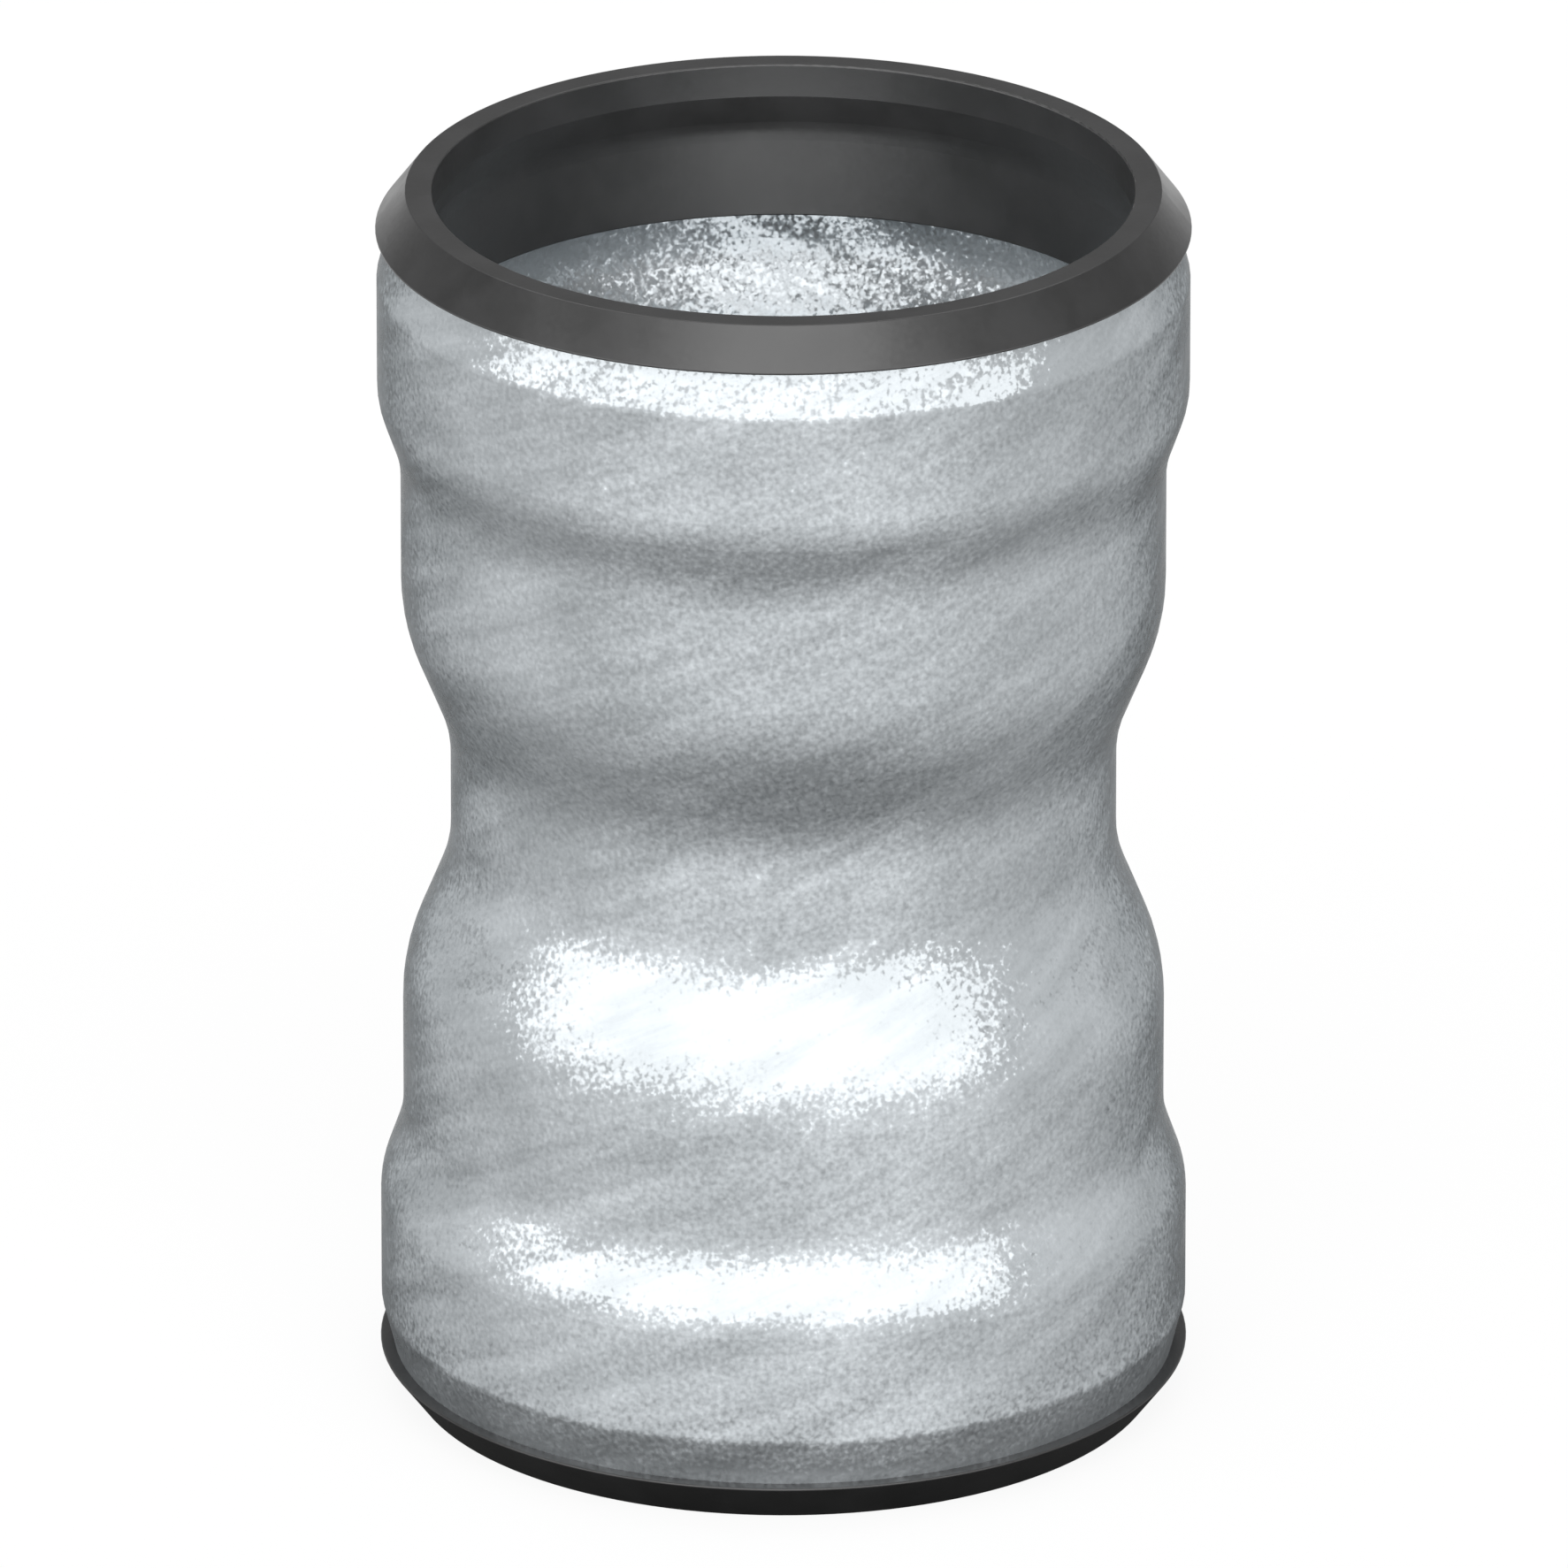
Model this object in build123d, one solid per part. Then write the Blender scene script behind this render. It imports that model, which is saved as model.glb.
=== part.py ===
from build123d import *
from math import hypot
import os

# Double socket pipe coupling: a galvanised steel sleeve with a rubber seal in each end.
# It stands upright on its lower seal. The origin is at the centre of its foot, and +Z runs along the pipe.
# All sizes are in millimetres.

# Pipe and fits
pipe_diameter = 102.0
socket_clearance = 1.0
sleeve_clearance = 0.5
lip_interference = 1.6
seat_gap = 0.05

# Steel sleeve, radial sizes of its inner wall
wall = 2.0
stop_height = 6.9
chamber_depth = 3.25
mouth_draw_in = 1.8

# Steel sleeve, lengths along the pipe
waist_length = 20.0
taper_length = 16.8
socket_length = 23.8
step_length = 9.1
chamber_length = 17.3
mouth_length = 7.1

# Steel sleeve, bend radii of its inner wall
waist_bend = 24.5
socket_bend = 26.8
step_bend = 18.8
chamber_bend = 10.2
mouth_bend = 1.5

# Rubber seal
collar_thickness = 5.9
collar_overhang = 0.4
face_width = 3.75
lip_height = 4.8
lip_slope_length = 5.9
lip_slope_round = 9.0
seal_depth = 17.8
edge_round = 0.25

# Radii that follow from the pipe
pipe_radius = pipe_diameter / 2
socket_radius = pipe_radius + socket_clearance
waist_radius = socket_radius - stop_height
chamber_radius = socket_radius + chamber_depth
mouth_radius = chamber_radius - mouth_draw_in
lip_radius = pipe_radius - lip_interference
sleeve_radius = pipe_radius + sleeve_clearance
face_radius = lip_radius + face_width
liner_radius = chamber_radius - seat_gap
collar_radius = chamber_radius + wall + collar_overhang

# Heights that follow from the lengths, measured from the middle of the coupling
taper_start = waist_length / 2
taper_end = taper_start + taper_length
step_start = taper_end + socket_length
step_end = step_start + step_length
mouth_start = step_end + chamber_length
mouth_end = mouth_start + mouth_length
half_length = mouth_end + collar_thickness
slope_start = half_length - lip_height
slope_end = slope_start - lip_slope_length
seal_end = mouth_end - seal_depth


# Steel wall

def wall_points():
    """Corners of the inner wall as (radius, height), from the lower mouth up to the upper one."""
    upper = [
        (waist_radius, taper_start),
        (socket_radius, taper_end),
        (socket_radius, step_start),
        (chamber_radius, step_end),
        (chamber_radius, mouth_start),
        (mouth_radius, mouth_end),
    ]
    lower = [(radius, -height) for radius, height in reversed(upper)]
    return lower + upper


def outward(start, end):
    """Unit vector square to a run of the wall, pointing away from the pipe."""
    run_radius = end[0] - start[0]
    run_height = end[1] - start[1]
    length = hypot(run_radius, run_height)
    return run_height / length, -run_radius / length


def shifted_wall(shift):
    """Corners and bend radii of a line that lies outside the inner wall by the shift, all along it."""
    points = wall_points()
    normals = [outward(start, end) for start, end in zip(points, points[1:])]
    half_bends = [waist_bend, socket_bend, step_bend, chamber_bend, mouth_bend]
    bends = half_bends[::-1] + half_bends
    corners = []
    radii = []
    for point, before, after, bend in zip(points[1:-1], normals, normals[1:], bends):
        reach = shift / (1 + before[0] * after[0] + before[1] * after[1])
        corners.append((point[0] + reach * (before[0] + after[0]), point[1] + reach * (before[1] + after[1])))
        turns_in = before[0] * after[1] > before[1] * after[0]
        radii.append(bend + shift if turns_in else bend - shift)
    end_shift = shift / normals[-1][0]
    first = (points[0][0] + end_shift, points[0][1])
    last = (points[-1][0] + end_shift, points[-1][1])
    return [first, *corners, last], radii


def inside_of_wall(shift):
    """Half section of the space inside a line that follows the wall, from the axis out."""
    points, radii = shifted_wall(shift)
    line = FilletPolyline(*points, radius=radii)
    closing = Polyline(points[-1], (0, mouth_end), (0, -mouth_end), points[0])
    return make_face([line, closing])


# Pieces, standing with the middle of the coupling at the origin

def coupling_sleeve():
    section = inside_of_wall(wall) - inside_of_wall(0)
    return revolve(Plane.XZ * section, axis=Axis.Z)


def seal_blank():
    """Half section of the upper seal before its outside is drawn in to follow the steel mouth."""
    corners = {
        (lip_radius, half_length): edge_round,
        (face_radius, half_length): edge_round,
        (collar_radius, mouth_end): edge_round,
        (liner_radius, mouth_end): 0,
        (liner_radius, seal_end): edge_round,
        (sleeve_radius, seal_end): edge_round,
        (sleeve_radius, slope_end): lip_slope_round,
        (lip_radius, slope_start): edge_round,
    }
    return make_face(FilletPolyline(*corners, radius=list(corners.values()), close=True))


def upper_seal():
    blank = seal_blank()
    above_steel = Pos(0, mouth_end) * Rectangle(
        collar_radius, collar_thickness, align=(Align.MIN, Align.MIN)
    )
    collar = blank & above_steel
    liner = blank & inside_of_wall(-seat_gap)
    return revolve(Plane.XZ * (collar + liner), axis=Axis.Z)


sleeve = coupling_sleeve()
seal = upper_seal()
standing = Pos(0, 0, half_length)

pieces = {
    "coupling_sleeve": standing * sleeve,
    "upper_seal": standing * seal,
    "lower_seal": standing * mirror(seal, about=Plane.XY),
}

os.makedirs("parts", exist_ok=True)
for name, piece in pieces.items():
    export_step(piece, f"parts/{name}.step")
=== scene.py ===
from math import cos, radians, sin

import bpy
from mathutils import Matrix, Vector


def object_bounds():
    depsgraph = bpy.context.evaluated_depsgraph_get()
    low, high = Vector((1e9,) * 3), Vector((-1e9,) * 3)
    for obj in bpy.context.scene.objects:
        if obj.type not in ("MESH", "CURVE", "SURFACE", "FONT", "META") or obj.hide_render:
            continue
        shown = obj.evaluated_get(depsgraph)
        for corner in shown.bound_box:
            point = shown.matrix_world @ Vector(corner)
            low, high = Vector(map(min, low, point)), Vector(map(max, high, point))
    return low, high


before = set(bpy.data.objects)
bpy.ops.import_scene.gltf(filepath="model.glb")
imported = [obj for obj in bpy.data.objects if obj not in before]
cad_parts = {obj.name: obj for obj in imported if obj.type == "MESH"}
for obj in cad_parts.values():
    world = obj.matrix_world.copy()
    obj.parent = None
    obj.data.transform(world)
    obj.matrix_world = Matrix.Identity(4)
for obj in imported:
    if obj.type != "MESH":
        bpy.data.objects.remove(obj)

# Looks of a double socket pipe coupling: a galvanised steel sleeve with a black rubber seal in each end.
# Lengths are in metres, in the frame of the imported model, which stands on the floor with the pipe along +Z.

cad_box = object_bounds()

# Camera, as in the photograph
camera_elevation = radians(21.985)
camera_distance = 4.388
field_width = 0.22196
aim_offset = Vector((0.000075, 0, -0.00017))
sensor_width = 36
nearest_seen = 0.1
farthest_seen = 100

# Floor: white to the camera, with a soft shadow.
# To reflections it is grey with a painted sheen: a white glow that is gone from above and full at a flat
# angle.
floor_reach = 12
floor_white = (1, 1, 1, 1)
floor_white_share = 0.9
satin_grey = (0.2, 0.2, 0.2, 1)
painted_sheen_share = 0.97
painted_sheen_steep = 0.08
painted_sheen_flat = 0.8

# Painted shade in the floor's reflection: it dims to the left and right of the part, and darkens close to its
# foot like a shadow
painted_side_shade = 0.62
painted_side_shade_start = 0.5
painted_foot_shade = 0.12
painted_foot_shade_reach = 0.03
painted_shadow_black = (0, 0, 0, 1)

# Studio light, as radiance where 1 is white. Angles are in degrees, and azimuths run from the camera's side,
# positive to its right. A border fades by its edge to either side of it: edges are in the sine of the
# elevation, and side edges in the cosine of the angle from the panel's middle.
dome_light = 0.22
lights = {
    "rear glow": {
        "radiance": 0.5,
        "bottom": -10, "top": 10, "edge": 0.08,
    },
    "white backdrop": {
        "radiance": 0.95,
        "bottom": -10, "top": 12, "edge": 0.08,
        "azimuth": 0, "half_width": 122, "side_edge": 0.2,
    },
    "side wings": {
        "radiance": 0.9,
        "bottom": 0, "top": 25, "edge": 0.05,
        "azimuth": 0, "half_width": 100, "side_edge": 0.1,
    },
    "front panel": {
        "radiance": 2.4,
        "bottom": -4, "top": 38, "edge": 0.08,
        "azimuth": -10, "half_width": 74, "side_edge": 0.05,
    },
    "high key": {
        "radiance": 3.6,
        "bottom": 34, "top": 68, "edge": 0.08,
        "azimuth": 0, "half_width": 42, "side_edge": 0.2,
    },
    "rear wall": {
        "radiance": 0.3,
        "bottom": 5, "top": 45, "edge": 0.1,
        "azimuth": 180, "half_width": 60, "side_edge": 0.2,
    },
    "rear fill": {
        "radiance": 2.2,
        "bottom": 44, "top": 72, "edge": 0.08,
        "azimuth": 180, "half_width": 80, "side_edge": 0.2,
    },
    "top fill": {
        "radiance": 0.6,
        "bottom": 42, "top": 90, "edge": 0.1,
    },
}

# Soft bulb on the pipe's axis, above its middle, so that the bore isn't left black
bore_light_radius = 0.016
bore_light_rise = 0.056
bore_light_power = 0.0135

# Steel pattern, as sizes on the metal. The streaks slant because they turn round the pipe as they rise.
grain_size = 0.00075
grain_tilt = 0.52
streak_width = 0.01
streak_length = 0.016
streak_twist = 40
streak_tilt = 0.25
cloud_size = 0.022
steel_tone_range = (0.42, 0.58)
steel_dark = (0.525, 0.56, 0.58, 1)
steel_pale = (0.645, 0.685, 0.71, 1)
steel_cloud_range = (0.35, 0.65)
steel_roughness = (0.16, 0.25)
steel_metallic = 0.7
steel_edge_tint = (0.18, 0.18, 0.18, 1)

# Rubber pattern, as sizes on the seals
bloom_size = 0.012
bloom_range = (0.3, 0.7)
skin_size = 0.0008
skin_tilt = 0.05
rubber_dark = (0.026, 0.026, 0.026, 1)
rubber_pale = (0.034, 0.034, 0.0345, 1)
rubber_roughness = (0.28, 0.37)
rubber_specular = 0.8

# Random leans of both surfaces: how fine their noise is, and its middle value
tilt_detail = 1.0
noise_middle = (0.5, 0.5, 0.5)

# A Mix node's sockets for colours, by their numbers
mix_first = 6
mix_second = 7
mix_result = 2


# Shader nodes

def node(tree, kind, inputs=None, **settings):
    """Adds a node. Inputs are numbers, colours or sockets to link, by the input's name or number."""
    made = tree.nodes.new(kind)
    for name, value in settings.items():
        setattr(made, name, value)
    for key, value in (inputs or {}).items():
        if isinstance(value, bpy.types.NodeSocket):
            tree.links.new(value, made.inputs[key])
        else:
            made.inputs[key].default_value = value
    return made


def calculate(tree, operation, *values):
    """The result of a sum on numbers."""
    return node(tree, "ShaderNodeMath", dict(enumerate(values)), operation=operation).outputs[0]


def calculate_vector(tree, operation, *values):
    """The node of a sum on vectors, because some of them give a vector and some a number."""
    return node(tree, "ShaderNodeVectorMath", dict(enumerate(values)), operation=operation)


def fit_range(tree, value, low, high, to_low=0.0, to_high=1.0, curve="SMOOTHSTEP"):
    """The value's place between low and high, as a number from to_low to to_high."""
    inputs = {"Value": value, "From Min": low, "From Max": high, "To Min": to_low, "To Max": to_high}
    return node(tree, "ShaderNodeMapRange", inputs, interpolation_type=curve).outputs[0]


def noise(tree, position, scale, detail, roughness):
    """A smooth random number about 0.5 at each place."""
    inputs = {"Vector": position, "Scale": scale, "Detail": detail, "Roughness": roughness}
    return node(tree, "ShaderNodeTexNoise", inputs).outputs[0]


def blend(tree, share, first, second):
    """A colour between two others."""
    colours = {"Factor": share, mix_first: first, mix_second: second}
    return node(tree, "ShaderNodeMix", colours, data_type="RGBA").outputs[mix_result]


def new_material(name):
    """A material with an empty tree and its output node."""
    material = bpy.data.materials.new(name)
    material.use_nodes = True
    material.node_tree.nodes.clear()
    output = node(material.node_tree, "ShaderNodeOutputMaterial")
    return material, material.node_tree, output


# Camera

def add_camera():
    lo, hi = cad_box
    back = Vector((0, -cos(camera_elevation), sin(camera_elevation)))
    data = bpy.data.cameras.new("camera")
    data.sensor_width = sensor_width
    data.lens = sensor_width * camera_distance / field_width
    data.clip_start = nearest_seen
    data.clip_end = farthest_seen
    camera = bpy.data.objects.new("camera", data)
    camera.location = (lo + hi) / 2 + aim_offset + back * camera_distance
    camera.rotation_mode = "QUATERNION"
    camera.rotation_quaternion = (-back).to_track_quat("-Z", "Y")
    bpy.context.scene.collection.objects.link(camera)
    bpy.context.scene.camera = camera


# Stage and light

def floor_material():
    """White to the camera. Reflections find it grey with a painted sheen, and painted shade to the left and
    right and close to the foot.
    """
    material, tree, output = new_material("floor")
    rays = node(tree, "ShaderNodeLightPath").outputs
    mirrored = calculate(tree, "MAXIMUM", rays["Is Glossy Ray"], rays["Is Transmission Ray"])

    place = node(tree, "ShaderNodeNewGeometry").outputs["Position"]
    level = calculate_vector(tree, "MULTIPLY", place, (1, 1, 0)).outputs[0]
    distance = calculate_vector(tree, "LENGTH", level).outputs["Value"]
    # Painted shadow: reflections find the floor darker close to the part's foot
    foot_radius = cad_box[1].x
    painted_shade_mask = fit_range(tree, distance, foot_radius, foot_radius + painted_foot_shade_reach, painted_foot_shade, 1.0)
    # Painted shade: the floor's sheen dims to the left and right of the part
    towards = calculate_vector(tree, "NORMALIZE", level).outputs[0]
    sideways = calculate(tree, "ABSOLUTE", node(tree, "ShaderNodeSeparateXYZ", {0: towards}).outputs["X"])
    painted_side_dimming = fit_range(tree, sideways, painted_side_shade_start, 1.0, 1.0, painted_side_shade)

    # Painted sheen: a white glow that only reflections see, stronger the flatter they meet the floor
    facing = node(tree, "ShaderNodeLayerWeight").outputs["Facing"]
    painted_sheen = fit_range(tree, facing, painted_sheen_steep, painted_sheen_flat, to_high=painted_sheen_share, curve="LINEAR")
    painted_sheen = calculate(tree, "MULTIPLY", painted_sheen, calculate(tree, "MULTIPLY", painted_shade_mask, painted_side_dimming))
    to_camera = calculate(tree, "MULTIPLY", rays["Is Camera Ray"], floor_white_share)
    share = calculate(tree, "MAXIMUM", to_camera, calculate(tree, "MULTIPLY", mirrored, painted_sheen))

    # The grey that reflections see carries the painted shadow near the foot
    grey_with_painted_shadow = blend(tree, painted_shade_mask, painted_shadow_black, satin_grey)
    matt_colour = blend(tree, rays["Is Camera Ray"], grey_with_painted_shadow, floor_white)
    matt = node(tree, "ShaderNodeBsdfDiffuse", {"Color": matt_colour})
    white = node(tree, "ShaderNodeEmission", {"Color": floor_white, "Strength": 1.0})
    mixed = node(tree, "ShaderNodeMixShader", {0: share, 1: matt.outputs[0], 2: white.outputs[0]})
    tree.links.new(mixed.outputs[0], output.inputs["Surface"])
    material.cycles.emission_sampling = "NONE"
    return material


def add_floor():
    corners = [(x * floor_reach, y * floor_reach, 0) for x, y in ((-1, -1), (1, -1), (1, 1), (-1, 1))]
    mesh = bpy.data.meshes.new("floor")
    mesh.from_pydata(corners, [], [(0, 1, 2, 3)])
    mesh.materials.append(floor_material())
    floor = bpy.data.objects.new("floor", mesh)
    bpy.context.scene.collection.objects.link(floor)


def add_light(tree, level, height, light):
    """Radiance of one soft panel of the dome. Level is a direction's flat part, height its Z."""
    edge = light["edge"]
    bottom = sin(radians(light["bottom"]))
    top = sin(radians(light["top"]))
    above = fit_range(tree, height, bottom - edge, bottom + edge)
    below = fit_range(tree, height, top - edge, top + edge, 1.0, 0.0)
    share = calculate(tree, "MULTIPLY", above, below)
    if "half_width" in light:
        azimuth = radians(light["azimuth"])
        middle = (sin(azimuth), -cos(azimuth), 0)
        facing = calculate_vector(tree, "DOT_PRODUCT", level, middle).outputs["Value"]
        side = cos(radians(light["half_width"]))
        across = fit_range(tree, facing, side - light["side_edge"], side + light["side_edge"])
        share = calculate(tree, "MULTIPLY", share, across)
    return calculate(tree, "MULTIPLY", share, light["radiance"])


def light_studio():
    """A dim dome with large soft panels in it. Where they overlap, the brightest one shows."""
    world = bpy.data.worlds.new("studio")
    world.use_nodes = True
    tree = world.node_tree
    tree.nodes.clear()
    direction = node(tree, "ShaderNodeTexCoord").outputs["Generated"]
    height = node(tree, "ShaderNodeSeparateXYZ", {0: direction}).outputs["Z"]
    level = calculate_vector(tree, "MULTIPLY", direction, (1, 1, 0)).outputs[0]
    level = calculate_vector(tree, "NORMALIZE", level).outputs[0]
    radiance = dome_light
    for light in lights.values():
        radiance = calculate(tree, "MAXIMUM", radiance, add_light(tree, level, height, light))
    dome = node(tree, "ShaderNodeBackground", {"Strength": radiance})
    output = node(tree, "ShaderNodeOutputWorld")
    tree.links.new(dome.outputs[0], output.inputs["Surface"])
    bpy.context.scene.world = world


def light_bore():
    """A soft bulb inside the pipe, which the camera doesn't see."""
    lo, hi = cad_box
    data = bpy.data.lights.new("bore light", "POINT")
    data.shadow_soft_size = bore_light_radius
    data.energy = bore_light_power
    lamp = bpy.data.objects.new("bore light", data)
    lamp.location = (lo + hi) / 2 + Vector((0, 0, bore_light_rise))
    lamp.visible_camera = False
    bpy.context.scene.collection.objects.link(lamp)


# Materials of the part

def add_tilt(tree, normal, position, scale, amount):
    """Leans the normal every way by smooth random amounts."""
    inputs = {"Vector": position, "Scale": scale, "Detail": tilt_detail}
    random = node(tree, "ShaderNodeTexNoise", inputs).outputs["Color"]
    lean = calculate_vector(tree, "SUBTRACT", random, noise_middle).outputs[0]
    lean = calculate_vector(tree, "MULTIPLY", lean, (amount, amount, amount)).outputs[0]
    return calculate_vector(tree, "ADD", normal, lean).outputs[0]


def along_streaks(tree, position):
    """The place on the steel, turned back by its height and scaled to one streak."""
    height = node(tree, "ShaderNodeSeparateXYZ", {0: position}).outputs["Z"]
    turn = calculate(tree, "MULTIPLY", height, -streak_twist)
    inputs = {"Vector": position, "Angle": turn}
    twisted = node(tree, "ShaderNodeVectorRotate", inputs, rotation_type="Z_AXIS").outputs[0]
    stretch = (1 / streak_width, 1 / streak_width, 1 / streak_length)
    return calculate_vector(tree, "MULTIPLY", twisted, stretch).outputs[0]


def steel_material():
    """Hot-dip galvanised steel: a satin zinc coat with a fine grain and faint slanting streaks."""
    material, tree, output = new_material("galvanised_steel")
    position = node(tree, "ShaderNodeTexCoord").outputs["Object"]
    drawn = along_streaks(tree, position)

    clouds = noise(tree, position, 1 / cloud_size, detail=3.0, roughness=0.6)
    streaks = noise(tree, drawn, 1.0, detail=5.0, roughness=0.68)
    patches = calculate(tree, "MULTIPLY", calculate(tree, "ADD", clouds, streaks), 0.5)
    tone = fit_range(tree, patches, *steel_tone_range, curve="LINEAR")

    normal = node(tree, "ShaderNodeNewGeometry").outputs["Normal"]
    normal = add_tilt(tree, normal, position, 1 / grain_size, grain_tilt)
    normal = add_tilt(tree, normal, drawn, 1.0, streak_tilt)
    surface = node(tree, "ShaderNodeBsdfPrincipled", {
        "Base Color": blend(tree, tone, steel_dark, steel_pale),
        "Metallic": steel_metallic,
        "Roughness": fit_range(tree, clouds, *steel_cloud_range, *steel_roughness, curve="LINEAR"),
        "Specular IOR Level": 0.0,
        "Specular Tint": steel_edge_tint,
        "Normal": calculate_vector(tree, "NORMALIZE", normal).outputs[0],
    })
    tree.links.new(surface.outputs[0], output.inputs["Surface"])
    return material


def rubber_material():
    """Moulded black rubber: smooth, with a faint bloom and the fine skin of the mould."""
    material, tree, output = new_material("seal_rubber")
    position = node(tree, "ShaderNodeTexCoord").outputs["Object"]
    bloom = noise(tree, position, 1 / bloom_size, detail=4.0, roughness=0.6)
    tone = fit_range(tree, bloom, *bloom_range)
    normal = node(tree, "ShaderNodeNewGeometry").outputs["Normal"]
    normal = add_tilt(tree, normal, position, 1 / skin_size, skin_tilt)
    surface = node(tree, "ShaderNodeBsdfPrincipled", {
        "Base Color": blend(tree, tone, rubber_dark, rubber_pale),
        "Roughness": fit_range(tree, bloom, *bloom_range, *rubber_roughness),
        "Specular IOR Level": rubber_specular,
        "Normal": calculate_vector(tree, "NORMALIZE", normal).outputs[0],
    })
    tree.links.new(surface.outputs[0], output.inputs["Surface"])
    return material


def dress(names, material):
    """Gives the named pieces the finish of a material slot in the record."""
    for name in names:
        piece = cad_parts[name]
        piece.data.materials.clear()
        piece.data.materials.append(material)


bpy.context.scene.view_settings.view_transform = "Standard"
add_camera()
add_floor()
light_studio()
light_bore()
dress(["coupling_sleeve"], steel_material())
dress(["upper_seal", "lower_seal"], rubber_material())
